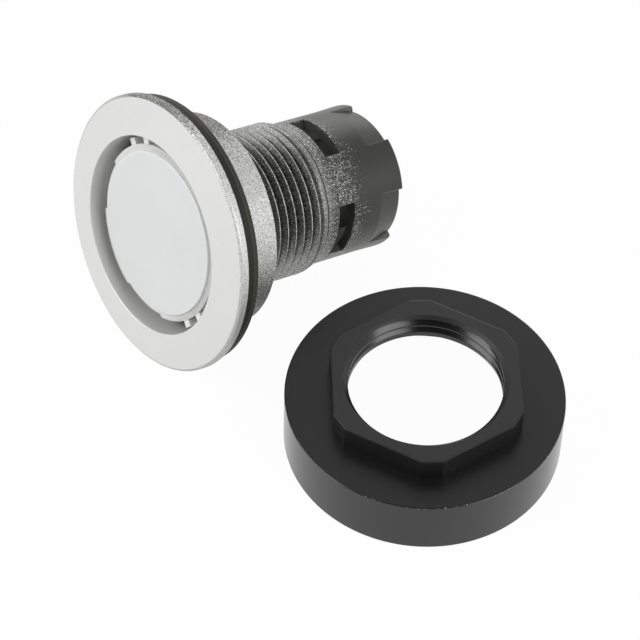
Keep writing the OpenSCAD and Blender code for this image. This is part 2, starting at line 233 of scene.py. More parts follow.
class Finish:
    """A material, its graph and its shader."""

    def __init__(self, material_name, **constants):
        self.material = bpy.data.materials.new(material_name)
        self.material.use_nodes = True
        self.tree = self.material.node_tree
        self.shader = self.tree.nodes["Principled BSDF"]
        for name, value in constants.items():
            socket = name.replace("_", " ").title().replace("Ior", "IOR")
            self.shader.inputs[socket].default_value = value

    def node(self, kind, settings=None, inputs=None, output=0):
        """Adds a node: its settings first, then its sockets' values or links."""
        made = self.tree.nodes.new(kind)
        for setting, value in (settings or {}).items():
            setattr(made, setting, value)
        for socket, value in (inputs or {}).items():
            if isinstance(value, Value):
                self.tree.links.new(value.socket, made.inputs[socket])
            else:
                made.inputs[socket].default_value = value
        return Value(self, made.outputs[output])

    def feed(self, socket, value):
        """Links a value into the shader."""
        self.tree.links.new(value.socket, self.shader.inputs[socket])

    def upright(self, place):
        """Object coordinates turned back into a piece's upright frame, in millimetres."""
        location, rotation, scale = place.inverted().decompose()
        coordinates = self.node("ShaderNodeTexCoord", output="Object")
        return self.node("ShaderNodeMapping", {"vector_type": "POINT"},
                         {"Vector": coordinates, "Location": location,
                          "Rotation": rotation.to_euler(), "Scale": scale})

    def axes(self, vector):
        """The three numbers of a vector."""
        return [self.node("ShaderNodeSeparateXYZ", None, {0: vector}, axis) for axis in "XYZ"]

    def noise(self, vector, per_mm, detail=2.0, roughness=0.5):
        """Soft random cloud with so many lumps per millimetre."""
        return self.node("ShaderNodeTexNoise", None,
                         {"Vector": vector, "Scale": per_mm, "Detail": detail, "Roughness": roughness})

    def specks(self, vector, per_mm, cover):
        """Round specks in random cells. The cover decides how many cells have one, and how wide it is."""
        away = self.node("ShaderNodeTexVoronoi", None, {"Vector": vector, "Scale": per_mm}, "Distance")
        cell = Value(self, away.socket.node.outputs["Color"])
        chosen = self.rise(cover - self.axes(cell)[0], 0.0, CELL_FADE)
        reach = SPECK_R + SPECK_GROWTH * cover
        return chosen * self.rise((reach - away) / SPECK_FADE, 0.0, 1.0)

    def rise(self, value, low, high):
        """A smooth step from 0 at one value to 1 at another."""
        return self.node("ShaderNodeMapRange", {"interpolation_type": "SMOOTHSTEP"},
                         {"Value": value, "From Min": low, "From Max": high})

    def blend(self, share, first, second):
        """Mixes two colours."""
        colours = {6: first, 7: second}
        colours = {k: c if isinstance(c, Value) else (*c, 1.0) for k, c in colours.items()}
        return self.node("ShaderNodeMix", {"data_type": "RGBA"}, {0: share, **colours}, 2)

    def bump(self, height, strength, depth_mm):
        """Feeds a height into the shader's normal."""
        made = self.node("ShaderNodeBump", None,
                         {"Height": height, "Strength": strength, "Distance": depth_mm * MM})
        self.feed("Normal", made)


def axis_distance(x, y):
    """Distance from the axis."""
    return (x * x + y * y) ** 0.5


def facing(x, y, radius, turn):
    """How squarely a place round the axis looks one way: 1 towards that angle, -1 away from it."""
    return (x * math.cos(turn) + y * math.sin(turn)) / radius


def tone(colour, share):
    """A colour made darker or lighter."""
    return [share * part for part in colour]


# %% [markdown]
# ## Silver paint
# The housing is black moulded plastic under a thin coat of silver paint, sprayed on from the front. The
# face took a smooth coat. On the sides the mould's grain breaks the coat into specks. Round the shoulder
# the specks are fewer on the side that faces the right lamp, so that side is painted lighter: a painted
# light. In the thread the paint reaches the crests and a little of the flanks in front of them, and the
# flanks behind stay black. Towards the thread's outlines, away from the lamp, more specks are painted
# in: a painted reflection.
#
# On the flat sides a noise, cut at a level, gives the grain. On the neck random cells decide where a
# speck sits, and the cover decides how many cells have one. The thread's own wave follows from the
# height and the angle round the axis.

# %% Silver paint finish
SHOULDER_LEN = 6.1
PITCH = 1.4
OPENING_R = 14.0
WELL_ROOM = 5.05
shoulder_z = -SHOULDER_LEN
well_z = skirt_z - WELL_ROOM
shoulder_r = mounts["panel_spigot"]["dims"]["r_mm"]
thread_r = mounts["neck_thread"]["dims"]["r_mm"]
# The side that faces the right lamp: the shoulder's coat is painted fuller there (painted light), and the thread's
# outlines away from it get more specks (painted reflection).
PAINTED_LIGHT_SIDE = math.radians(44)
# The upper side of the flange's rim, where more specks are painted as shade.
RIM_SHADE_SIDE = math.radians(86)
BAND_LEN = 1.0
NECK_LIFT = -0.25
SEAM_LINE = 0.14
PAINT = (0.74, 0.745, 0.735)
PAINT_SHADE = (0.38, 0.38, 0.37)
SPARKLE = (0.97, 0.97, 0.95)
WELL_PAINT = (0.76, 0.765, 0.76)
BARE_PLASTIC = (0.007, 0.007, 0.0045)
FLANK_SPECK = (0.095, 0.0945, 0.073)
FLANK_COVER = 0.03
FLANK_PER_MM = 3.2
RIM_GRAIN = 0.35
RIM_EDGE = 0.45
GRAIN_PER_MM = 4.8
FINE_PER_MM = 6.5
# Grain levels of the shoulder's coat away from the lamp's side and towards it; the fuller coat towards the lamp is
# painted light.
SHADE_SIDE_LEVEL = 0.62
LIGHT_SIDE_LEVEL = 0.34
SIDE_FLOOR = 0.14
SATIN_DARK = 0.9
SATIN_LIGHT = 1.09
BAND_COVER = 0.65
REAR_SHARE = 0.24
SEAM_HAZE = 3.6
DOTS_PER_MM = 5.0
print(f"shoulder {-shoulder_z:.2f} long, thread radius {thread_r:.2f}, floor of the well at {well_z:.2f}")


def thread_paint(finish, place, axes, aside, fine):
    """Paint on the neck: sparkling crest lines, a haze of specks towards the seam, and more specks towards the
    outlines as a painted reflection.
    """
    x, y, z = axes
    turn = y.maths("ARCTAN2", y, x)
    wave = turn.maths("FRACT", (z - neck_z - NECK_LIFT) / PITCH - turn / (2 * math.pi))
    crest = 1 - finish.rise(abs(wave - 0.5), 0.035, 0.08)
    front = finish.rise(wave, 0.45, 0.55) * (1 - finish.rise(wave, 0.7, 1.0))
    band = 1 - finish.rise(z, neck_z + BAND_LEN - 0.1, neck_z + BAND_LEN + 0.2)
    near_seam = 1 - finish.rise(z, neck_z + BAND_LEN, neck_z + SEAM_HAZE)
    # Away from the lamp's side the thread's outlines take more specks: a painted reflection.
    aside = aside * (REAR_SHARE + (1 - REAR_SHARE) * front)
    thickness = aside + (1 - aside) * (near_seam * (0.06 + 0.3 * front) + 0.2 * front)
    thickness = FLANK_COVER + (1 - FLANK_COVER) * thickness
    thickness = thickness + band * (BAND_COVER - thickness)
    haze = 0.6 * thickness ** 1.5
    specks = haze + (1 - haze) * finish.specks(place, DOTS_PER_MM, 0.75 * thickness)
    line = crest * (1 - band) * (0.35 + 0.5 * finish.rise(fine, 0.4, 0.6))
    return line.larger(specks) * finish.rise(z, neck_z + SEAM_LINE, neck_z + SEAM_LINE + 0.08)


def silver_paint():
    finish = Finish("silver_paint", metallic=0.35, specular_ior_level=0.4)
    place = finish.upright(HEAD)
    x, y, z = finish.axes(place)
    radius = axis_distance(x, y)
    # Towards the lamp's side the shoulder's coat is painted fuller and lighter: a painted light.
    to_painted_light_side = facing(x, y, radius, PAINTED_LIGHT_SIDE)
    painted_light_share = finish.rise(to_painted_light_side, 0.6, 0.97)

    grain = finish.noise(place, GRAIN_PER_MM, 2.0, 0.65)
    fine = finish.noise(place, FINE_PER_MM, 2.0, 0.65)
    # On the flange's rim some real grain shows all round. More specks are painted on the upper side as a painted
    # shade, and the low side keeps a smooth, lighter coat as a painted light.
    rim_shade = finish.rise(facing(x, y, radius, RIM_SHADE_SIDE), 0.66, 0.92)
    on_edge = finish.rise(radius, flange_r - RIM_EDGE, flange_r - RIM_EDGE + 0.2)
    bare_edge = on_edge * (RIM_GRAIN + (1 - RIM_GRAIN) * rim_shade)
    on_face = finish.rise(z, gasket_t - 0.1, gasket_t) * (1 - bare_edge)
    in_opening = 1 - finish.rise(radius, OPENING_R + 0.05, OPENING_R + 0.15)
    in_well = in_opening * finish.rise(z, well_z + 0.4, well_z + 1.4)
    smooth = on_face.larger(in_well)

    level = SHADE_SIDE_LEVEL - (SHADE_SIDE_LEVEL - LIGHT_SIDE_LEVEL) * painted_light_share
    side = SIDE_FLOOR + (1 - SIDE_FLOOR) * finish.rise(grain, level - 0.2, level + 0.2)
    on_neck = 1 - finish.rise(z, shoulder_z - 0.05, shoulder_z + 0.05)
    neck = thread_paint(finish, place, (x, y, z), 1 - finish.rise(to_painted_light_side, 0.5, 0.98), fine)
    share = smooth.larger(side + on_neck * (neck - side))

    tint = finish.blend(finish.rise(fine, 0.28, 0.72), PAINT_SHADE, SPARKLE)
    satin = finish.blend(fine, tone(PAINT, SATIN_DARK), tone(PAINT, SATIN_LIGHT))
    tint = finish.blend(on_face, tint, satin)
    tint = finish.blend(in_well, tint, WELL_PAINT)
    flank_grain = finish.noise(place, FLANK_PER_MM, 2.0, 0.7)
    bare = finish.blend(finish.rise(flank_grain, 0.42, 0.64), BARE_PLASTIC, FLANK_SPECK)
    finish.feed("Base Color", finish.blend(share, bare, tint))
    finish.feed("Roughness", 0.46 - 0.08 * smooth + 0.1 * (1 - share))
    finish.bump((grain + 0.1 * fine) * (1 - smooth) * (1 - 0.7 * on_neck), 0.4, 0.06)
    return finish.material


# %% [markdown]
# ## Housing
# The flange, the shoulder that fills the panel's hole and the threaded neck are one moulding. Its
# plain part is a revolved section. The thread is a real helix: one ridge is drawn, spun and lifted by
# one pitch a turn, so that each turn welds to the next. Two cuts trim it to the neck's length, and
# bridges close the gaps between its ends and the plain part.

# %% Helper that winds a thread
THREAD_STEPS = 120


def wind_thread(bm, ridge, low, high, lift, shape):
    """Winds a ridge section into a right-handed thread between two levels, and trims its radii."""
    turns = math.ceil((high - low) / PITCH) + 2
    before = set(bm.verts)
    start = low + lift - 2 * PITCH
    draw_section(bm, [(corner[0], start + corner[1], *corner[2:]) for corner in ridge])
    drawn = [vert for vert in bm.verts if vert not in before]
    wires = [edge for edge in bm.edges if edge.is_wire]
    bmesh.ops.spin(bm, geom=drawn + wires, cent=(0, 0, 0), axis=(0, 0, 1), angle=2 * math.pi * turns,
                   dvec=(0, 0, PITCH / THREAD_STEPS), steps=THREAD_STEPS * turns)
    wound = [vert for vert in bm.verts if vert not in before]
    bmesh.ops.remove_doubles(bm, verts=wound, dist=WELD)
    for level, below in ((low, True), (high, False)):
        wound = [vert for vert in bm.verts if vert not in before]
        edges = {edge for vert in wound for edge in vert.link_edges}
        faces = {face for vert in wound for face in vert.link_faces}
        bmesh.ops.bisect_plane(bm, geom=[*wound, *edges, *faces], plane_co=(0, 0, level), dist=WELD,
                               plane_no=(0, 0, 1), clear_inner=below, clear_outer=not below)
    for vert in bm.verts:
        if vert not in before:
            set_radius(vert, shape(vert.co.xy.length, vert.co.z))


# %% Model the housing
FLANGE_RIM_T = 1.2
FLANGE_EDGE = 0.33
GASKET_GRIP = 0.2
SEAM_EDGE = 0.3
NECK_BORE_R = 8.6
SOCKET_R = 9.2
THREAD_DEPTH = 0.858
CREST_FLAT = 0.16
NECK_END_R = 10.45
RELIEF = 0.35
RELIEF_SLOPE = 1.4
RUNOUT_START = 2.4
RUNOUT_CUT = 0.05
RUNOUT_CURVE = 1.5
BAND_CURVE = 1.7
THREAD_INSET = 0.02
HOUSING_STEPS = 240
root_r = thread_r - THREAD_DEPTH


def neck_shape(radius, level):
    """Thins the thread out next to the shoulder, and lets it run out before the seam."""
    from_shoulder = shoulder_z - level
    from_seam = level - neck_z
    if from_seam < BAND_LEN:
        fall = 1 - from_seam / BAND_LEN
        band_r = thread_r - RUNOUT_CUT
        return band_r - (band_r - NECK_END_R) * fall ** BAND_CURVE
    fade = min(1, max(0, (RUNOUT_START - from_seam) / (RUNOUT_START - BAND_LEN)))
    ceiling = root_r + max(0, from_shoulder - RELIEF) * RELIEF_SLOPE
    floor = root_r + (THREAD_DEPTH - RUNOUT_CUT) * fade ** RUNOUT_CURVE
    return min(ceiling, max(radius, floor))


def model_housing():
    bm = bmesh.new()
    front_z = gasket_t + FLANGE_RIM_T
    seat_r = shoulder_r - GASKET_GRIP
    thread_top_z = shoulder_z - THREAD_INSET
    draw_section(bm, [(NECK_END_R - SEAM_EDGE, neck_z),
                      (SOCKET_R, neck_z, 0.1),
                      (SOCKET_R, spigot_z),
                      (NECK_BORE_R, spigot_z, 0.1),
                      (NECK_BORE_R, well_z, 0.2),
                      (OPENING_R, well_z, 0.3),
                      (OPENING_R, face_z, 0.16),
                      (flange_r, front_z, FLANGE_EDGE),
                      (flange_r, gasket_t, 0.1),
                      (seat_r, gasket_t),
                      (seat_r, 0),
                      (shoulder_r, 0, 0.1),
                      (shoulder_r, shoulder_z, 0.22),
                      (root_r + SEAM_EDGE, shoulder_z, 0.1),
                      (root_r + SEAM_EDGE, thread_top_z)])
    revolve(bm, HOUSING_STEPS)
    plain_ends = loop_at(bm, neck_z), loop_at(bm, thread_top_z)
    plain_verts = set(bm.verts)
    ridge = [(root_r, 0),
             (thread_r, (PITCH - CREST_FLAT) / 2, 0.05),
             (thread_r, (PITCH + CREST_FLAT) / 2, 0.05),
             (root_r, PITCH)]
    wind_thread(bm, ridge, neck_z, thread_top_z, NECK_LIFT, neck_shape)
    for plain_end, level in zip(plain_ends, (neck_z, thread_top_z)):
        wound_end = [edge for edge in loop_at(bm, level) if not plain_verts & set(edge.verts)]
        bmesh.ops.bridge_loops(bm, edges=plain_end + wound_end)
    return finish_piece(bm, "silver_housing", HEAD, "head", "housing", silver_paint())


model_housing()

# %% [markdown]
# ## Gasket
# A black rubber ring seals the flange on the panel. It is a plain revolved section with soft corners.
# Its rubber is a little dusty, which a fine noise in colour and roughness shows. The mould parted
# along a line round its outside, and the rubber behind that line is paler and browner. Its low side
# is paler and browner as well.

# %% Rubber finish and gasket
GASKET_CHAMFER = 0.3
PARTING_Z = 0.8
RUBBER_BLACK = (0.013, 0.013, 0.0095)
RUBBER_BROWN = (0.034, 0.031, 0.021)
PARTING_GREY = (0.075, 0.071, 0.056)
PALE_LOW_BROWN = (0.10, 0.092, 0.07)
DUST_GREY = (0.4, 0.4, 0.36)
PALE_LOW_SIDE = math.radians(-62)


def dusty_rubber(name, paint=None):
    """Black rubber, or rubber whose colour comes from a function of its graph and the place on the head."""
    finish = Finish(name, specular_ior_level=0.3)
    where = finish.upright(HEAD)
    dust = finish.noise(where, 4.0, 3.0, 0.65)
    colour = paint(finish, where) if paint else RUBBER_BLACK
    finish.feed("Base Color", finish.blend(0.06 * finish.rise(dust, 0.45, 0.75), colour, DUST_GREY))
    finish.feed("Roughness", 0.5 + 0.25 * dust)
    finish.bump(dust, 0.25, 0.04)
    return finish.material


def parted_rubber(finish, where):
    """Black in front of the mould's parting line, brown behind it, and paler and browner on the low side."""
    x, y, level = finish.axes(where)
    front = finish.rise(level, PARTING_Z - 0.15, PARTING_Z + 0.05)
    rubber = finish.blend(front, RUBBER_BROWN, RUBBER_BLACK)
    low_side = facing(x, y, axis_distance(x, y), PALE_LOW_SIDE)
    rubber = finish.blend(0.6 * finish.rise(low_side, 0.75, 0.98), rubber, PALE_LOW_BROWN)
    line = 1 - finish.rise(abs(level - PARTING_Z), 0.03, 0.1)
    return finish.blend(0.7 * line, rubber, PARTING_GREY)


def model_gasket():
    bm = bmesh.new()
    seat_r = shoulder_r - GASKET_GRIP
    draw_section(bm, [(seat_r, gasket_t),
                      (seat_r, GASKET_CHAMFER),
                      (seat_r + GASKET_CHAMFER, 0),
                      (gasket_r, 0, 0.4),
                      (gasket_r, gasket_t, 0.12)], closed=True)
    revolve(bm, HOUSING_STEPS)
    black = dusty_rubber("gasket_rubber", parted_rubber)
    return finish_piece(bm, "rubber_gasket", HEAD, "head", "panel_gasket", black)


model_gasket()

# %% [markdown]
# ## Lens cap
# The button is one translucent moulding: a flat white face, a lower rim, wide tabs on the rim and two
# pairs of small guide pegs. On the right the tabs run together, as the rim shows no gap there. The
# revolved section comes first. Spun in one degree steps, it has an edge at every side of a tab, so the
# tabs and pegs are extruded from its own faces. The rim is greyer on the side that lies in shade.

# %% Frosted lens finish
RIM_W = 0.5
RIM_GAP = 1.9
lens_r = OPENING_R - RIM_GAP
lens_face_r = lens_r - RIM_W
TAB_GAP = 1.5
tab_r = OPENING_R - TAB_GAP
LENS_CLOUD = 0.97
LENS_WHITE = (0.76, 0.775, 0.775)
LENS_EDGE_HIGHLIGHT = (0.83, 0.84, 0.835)
LENS_RIM = (0.72, 0.72, 0.705)
SHADED_RIM = (0.56, 0.56, 0.545)
SHADED_SIDE = math.radians(30)
GLOW_DEPTH = 0.6 * MM
print(f"lens face radius {lens_face_r:.2f}, rim {lens_r:.2f}, tabs {tab_r:.2f}")


def frosted_lens():
    finish = Finish("frosted_lens", specular_ior_level=0.45, subsurface_weight=0.15,
                    subsurface_scale=GLOW_DEPTH, subsurface_radius=(1.0, 1.0, 1.0))
    where = finish.upright(HEAD)
    x, y, _ = finish.axes(where)
    radius = axis_distance(x, y)
    cloud = finish.noise(where, 0.12, 1.0)
    face = finish.blend(finish.rise(cloud, 0.3, 0.7), tone(LENS_WHITE, LENS_CLOUD), LENS_WHITE)
    # The face is painted lighter in a band along its round edge: a painted highlight.
    edge = finish.rise(radius, lens_face_r - 0.45, lens_face_r - 0.1)
    rim = finish.rise(radius, lens_face_r + 0.03, lens_face_r + 0.09)
    peg = finish.rise(radius, tab_r + 0.05, tab_r + 0.15)
    face = finish.blend(edge, face, LENS_EDGE_HIGHLIGHT)
    shaded = finish.rise(facing(x, y, radius, SHADED_SIDE), -0.25, 0.45)
    rim_tint = finish.blend(shaded, LENS_RIM, SHADED_RIM)
    finish.feed("Base Color", finish.blend(rim * (1 - peg), face, rim_tint))
    haze = finish.noise(where, 6.0, 2.0)
    finish.feed("Roughness", 0.34 + 0.12 * haze)
    finish.bump(haze, 0.08, 0.02)
    return finish.material


# %% Model the lens cap
LENS_T = 1.0
SKIRT_T = 1.1
RIM_DROP = 0.4
RIM_T = 1.1
TAB_TURN = 45
TAB_ARC = 53
LONG_TAB_ARC = TAB_ARC + 180
TAB_ROUND = 0.28
TAB_CORNER = 0.8
PEG_TURNS = (-88, -74, 74, 88)
PEG_ARC = 5
PEG_DROP = 0.5
DEGREE_STEPS = 360
HALF_DEGREE = math.radians(0.5)
NEAR = 0.01


def turn_from(point, middle):
    """Angle in degrees between a point and a direction round the axis."""
    turn = math.degrees(math.atan2(point.y, point.x)) - middle
    return abs((turn + 180) % 360 - 180)


def faces_within(bm, middle, arc, low, high, radius):
    """Faces on a wall of one radius, inside an angle and between two levels."""
    found = []
    for face in bm.faces:
        centre = face.calc_center_median()
        on_wall = abs(centre.xy.length - radius) < NEAR
        if on_wall and low < centre.z < high and turn_from(centre, middle) < arc / 2:
            found.append(face)
    return found


def push_out(bm, faces):
    """Extrudes faces and returns the new vertices."""
    edges = {edge for face in faces for edge in face.edges}
    made = bmesh.ops.extrude_face_region(bm, geom=[*faces, *edges])["geom"]
    return [item for item in made if isinstance(item, bmesh.types.BMVert)]


def model_lens():
    bm = bmesh.new()
    back_z = lens_z - LENS_T
    rim_z = lens_z - RIM_DROP
    rim_low = rim_z - RIM_T
    draw_section(bm, [(0, lens_z),
                      (lens_face_r, lens_z, 0.24),
                      (lens_face_r, rim_z),
                      (lens_r, rim_z),
                      (lens_r, rim_low),
                      (lens_r, skirt_z, 0.1),
                      (lens_r - SKIRT_T, skirt_z, 0.1),
                      (lens_r - SKIRT_T, back_z),
                      (0, back_z)])
    revolve(bm, DEGREE_STEPS)
    bmesh.ops.rotate(bm, verts=bm.verts, cent=(0, 0, 0), matrix=Matrix.Rotation(HALF_DEGREE, 3, "Z"))
    for middle, arc in ((TAB_TURN, LONG_TAB_ARC), (TAB_TURN + 180, TAB_ARC)):
        faces = faces_within(bm, middle, arc, rim_low, rim_z, lens_r)
        for vert in push_out(bm, faces):
            set_radius(vert, tab_r)
    corners = [edge for edge in bm.edges
               if all(abs(vert.co.xy.length - tab_r) < WELD for vert in edge.verts)
               and abs(edge.verts[0].co.z - edge.verts[1].co.z) > RIM_T / 2
               and edge.calc_face_angle(0) > TAB_CORNER]
    round_off(bm, corners, TAB_ROUND, ROUND_SEGMENTS)
    for turn in PEG_TURNS:
        middle = TAB_TURN + turn
        faces = faces_within(bm, middle, PEG_ARC, rim_low, rim_z, tab_r)
        for vert in push_out(bm, faces):
            set_radius(vert, peg_r)
        half_way = (tab_r + peg_r) / 2
        below = faces_within(bm, middle, PEG_ARC, rim_low - NEAR, rim_low + NEAR, half_way)
        for vert in push_out(bm, below):
            vert.co.z -= PEG_DROP
    return finish_piece(bm, "lens_button", HEAD, "button", "lens_cap", frosted_lens())


model_lens()

# %% [markdown]
# ## Tail sleeve
# The tail is a black plastic tube that snaps into the neck. Four windows show the hooks inside, and
# four lugs with ramps hold what clips on behind. Windows and lugs fill the circle turn by turn, so one
# degree steps fit both. A window is cut by deleting the faces on both walls and bridging the two
# holes. A lug is the tapered end's own faces, pushed out level with the tube.
#
# Spray from the housing's paint has drifted over the seam. It shows as silver dots that are dense at
# the seam and thin out towards the lugs.

# %% Black plastic with overspray
SEAM_GAP = 0.1
sleeve_z = neck_z - SEAM_GAP
SPRAY_END = 8.6
SPRAY_TURN = math.radians(15)
SHORT_SPRAY = 0.75
DRIFT_MM = 1.2
MIST_PER_MM = 7.0
MIST_COVER = 0.6
DROPS_PER_MM = 4.5
DROPS_COVER = 0.42
OVERSPRAY = (0.72, 0.72, 0.70)
SLEEVE_BLACK = (0.0125, 0.0125, 0.009)
# The inside of the same black plastic, painted lighter to lift the shade in the windows and the tail: a painted
# light.
INSIDE_PAINTED_LIGHT = (0.045, 0.045, 0.038)
SKIN_R = 10.15
TAIL_SKIN_R = 9.3
GRAIN_LIGHT = 1.25
LUG_ARC = 41
LUG_LEN = 4.2
# Grey of the painted highlight along the lugs' edges.
LUG_HIGHLIGHT_GREY = (0.16, 0.16, 0.15)
lug_z = tail_z + LUG_LEN
print(f"sleeve from {sleeve_z:.2f} to {tail_z:.2f}, lugs below {lug_z:.2f}")


def lug_edge_highlights(finish, axes):
    """A painted highlight: a thin line along both long edges of each lug, by the angle from the nearest lug's
    middle.
    """
    x, y, z = axes
    half_arc = LUG_ARC / 2
    turn = y.maths("ARCTAN2", y, x) * (180 / math.pi)
    aside = 90 * abs(turn.maths("FRACT", turn / 90) - 0.5)
    line = finish.rise(aside, half_arc - 0.8, half_arc - 0.35)
    line = line * (1 - finish.rise(aside, half_arc + 0.02, half_arc + 0.1))
    return line * (1 - finish.rise(z, lug_z - 0.8, lug_z - 0.2))


def sleeve_plastic():
    finish = Finish("sleeve_plastic", specular_ior_level=0.6)
    where = finish.upright(HEAD)
    x, y, z = finish.axes(where)
    radius = axis_distance(x, y)
    towards = finish.rise(facing(x, y, radius, SPRAY_TURN), -0.6, 0.5)
    from_seam = sleeve_z - z
    drift = finish.noise(where, 0.35, 1.0)
    reach = SPRAY_END * (SHORT_SPRAY + (1 - SHORT_SPRAY) * towards) + DRIFT_MM * (drift - 0.5)
    thinning = 1 - finish.rise(from_seam / reach, 0.4, 1.0)
    on_skin = finish.rise(radius, SKIN_R - 0.1, SKIN_R)
    tail = 1 - finish.rise(z, lug_z - 0.2, lug_z + 0.2)
    outside = on_skin.larger(tail * finish.rise(radius, TAIL_SKIN_R - 0.1, TAIL_SKIN_R))
    mist = finish.specks(where, MIST_PER_MM, MIST_COVER * thinning ** 1.5)
    drops = finish.specks(where, DROPS_PER_MM, DROPS_COVER * thinning)
    haze = 0.2 * (1 - finish.rise(from_seam, 0.0, 2.0))
    spots = drops.larger(haze + (0.6 - haze) * mist)
    spots = spots * on_skin * finish.rise(from_seam, 0.09, 0.17)
    grain = finish.noise(where, 7.0, 2.0)
    dark = finish.blend(finish.rise(grain, 0.3, 0.7), SLEEVE_BLACK, tone(SLEEVE_BLACK, GRAIN_LIGHT))
    # Inside the tube the colour is the lighter one: a painted light.
    dark = finish.blend(outside, INSIDE_PAINTED_LIGHT, dark)
    # The lugs' long edges get a grey line broken by grain: a painted highlight.
    lug_highlight = lug_edge_highlights(finish, (x, y, z)) * finish.rise(grain, 0.25, 0.55)
    dark = finish.blend(0.8 * lug_highlight * outside, dark, LUG_HIGHLIGHT_GREY)
    finish.feed("Base Color", finish.blend(spots, dark, OVERSPRAY))
    finish.feed("Roughness", 0.34 + 0.06 * grain + 0.5 * (1 - outside))
    finish.feed("Metallic", 0.3 * spots)
    finish.bump(0.12 * grain + 0.5 * spots, 0.25, 0.03)
    return finish.material


# %% Model the tail sleeve
SLEEVE_STEP = 0.7
SLEEVE_WALL = 1.4
SLEEVE_EDGE = 0.2
SPIGOT_GAP = 0.05
BEAD_H = 0.2
SPIGOT_LEN = 3.0
WEB_T = 1.5
GUIDE_R = 6.9
WINDOW_ARC = 49
WINDOW_SET = 2.05
WINDOW_LEN = 2.7
WINDOW_EDGE = 0.1
WINDOW_SEGMENTS = 2
WINDOW_CORNER = 0.5
LUG_TURN = 45
LUG_FLAT = 1.2
INNER_SKIN = 0.05
TAIL_TAPER = 0.7
TAIL_EDGE = 0.3
sleeve_r = thread_r - SLEEVE_STEP
cavity_r = sleeve_r - SLEEVE_WALL
tail_r = sleeve_r - TAIL_TAPER


def taper_r(level):
    """Radius of the tapered end between the lugs."""
    share = (lug_z - level) / (lug_z - tail_z - TAIL_EDGE)
    return sleeve_r - TAIL_TAPER * share


def cut_window(bm, middle, low, high):
    """Opens a window through the wall and closes its four sides."""
    outer = faces_within(bm, middle, WINDOW_ARC, low, high, sleeve_r)
    inner = faces_within(bm, middle, WINDOW_ARC, low, high, cavity_r)
    bmesh.ops.delete(bm, geom=outer + inner, context="FACES")
    rims = [edge for edge in bm.edges if edge.is_boundary]
    sides = bmesh.ops.bridge_loops(bm, edges=rims)["faces"]
    front = [edge for face in sides for edge in face.edges
             if all(abs(vert.co.xy.length - sleeve_r) < WELD for vert in edge.verts)
             and edge.calc_face_angle(0) > WINDOW_CORNER]
    round_off(bm, list(set(front)), WINDOW_EDGE, WINDOW_SEGMENTS, clamp=True)


def raise_lug(bm, middle):
    """Pushes a part of the tapered end out to make a lug with a ramp."""
    faces = []
    for face in bm.faces:
        centre = face.calc_center_median()
        near = turn_from(centre, middle) < LUG_ARC / 2
        if near and tail_z + WELD < centre.z < lug_z and centre.xy.length > cavity_r + INNER_SKIN:
            faces.append(face)
    for vert in push_out(bm, faces):
        rise = min(1, (lug_z - vert.co.z) / (LUG_LEN - LUG_FLAT))
        edge_cut = vert.co.xy.length - taper_r(max(vert.co.z, tail_z + TAIL_EDGE))
        set_radius(vert, sleeve_r + (lug_r - sleeve_r) * rise + min(0, edge_cut))


def model_sleeve():
    bm = bmesh.new()
    spigot_r = SOCKET_R - SPIGOT_GAP
    bead_z = sleeve_z + SPIGOT_LEN / 2
    window_high = sleeve_z - WINDOW_SET
    window_low = window_high - WINDOW_LEN
    web_z = sleeve_z - WEB_T
    draw_section(bm, [(GUIDE_R, spigot_z, 0.15),
                      (spigot_r, spigot_z, 0.15),
                      (spigot_r, bead_z + 2 * BEAD_H),
                      (spigot_r + BEAD_H, bead_z, 0.1),
                      (spigot_r, bead_z - 2 * BEAD_H),
                      (spigot_r, sleeve_z),
                      (sleeve_r, sleeve_z, SLEEVE_EDGE),
                      (sleeve_r, window_high),
                      (sleeve_r, window_low),
                      (sleeve_r, lug_z),
                      (taper_r(tail_z + LUG_FLAT), tail_z + LUG_FLAT),
                      (tail_r, tail_z + TAIL_EDGE),
                      (tail_r - TAIL_EDGE, tail_z),
                      (cavity_r, tail_z),
                      (cavity_r, window_low),
                      (cavity_r, window_high),
                      (cavity_r, web_z),
                      (GUIDE_R, web_z)], closed=True)
    revolve(bm, DEGREE_STEPS)
    bmesh.ops.rotate(bm, verts=bm.verts, cent=(0, 0, 0), matrix=Matrix.Rotation(HALF_DEGREE, 3, "Z"))
    bmesh.ops.recalc_face_normals(bm, faces=bm.faces)
    for quarter in range(4):
        cut_window(bm, 90 * quarter, window_low, window_high)
    for quarter in range(4):
        raise_lug(bm, LUG_TURN + 90 * quarter)
    plastic = sleeve_plastic()
    return finish_piece(bm, "tail_sleeve", HEAD, "head", "bayonet_sleeve", plastic)


model_sleeve()

# %% [markdown]
# ## Fixing nut
# The nut is a black cup with a hexagon on top and a thread through it. Its outline changes from a
# hexagon to a circle, so it isn't revolved. The hexagon's loop of edges is extruded step by step
# instead: down its walls, out to the rim, round the outside and up the hollow. All steps share the
# same vertices round the axis, so the faces stay four-sided and the edges take clean bevels.

# %% Black nut plastic
NUT_RIM_H = 8.8
NUT_BLACK = (0.005, 0.005, 0.0049)
NUT_LIGHT = 1.3
NICK_GLINT_GREY = (0.3, 0.3, 0.3)
BORE_SKIN_R = 11.3


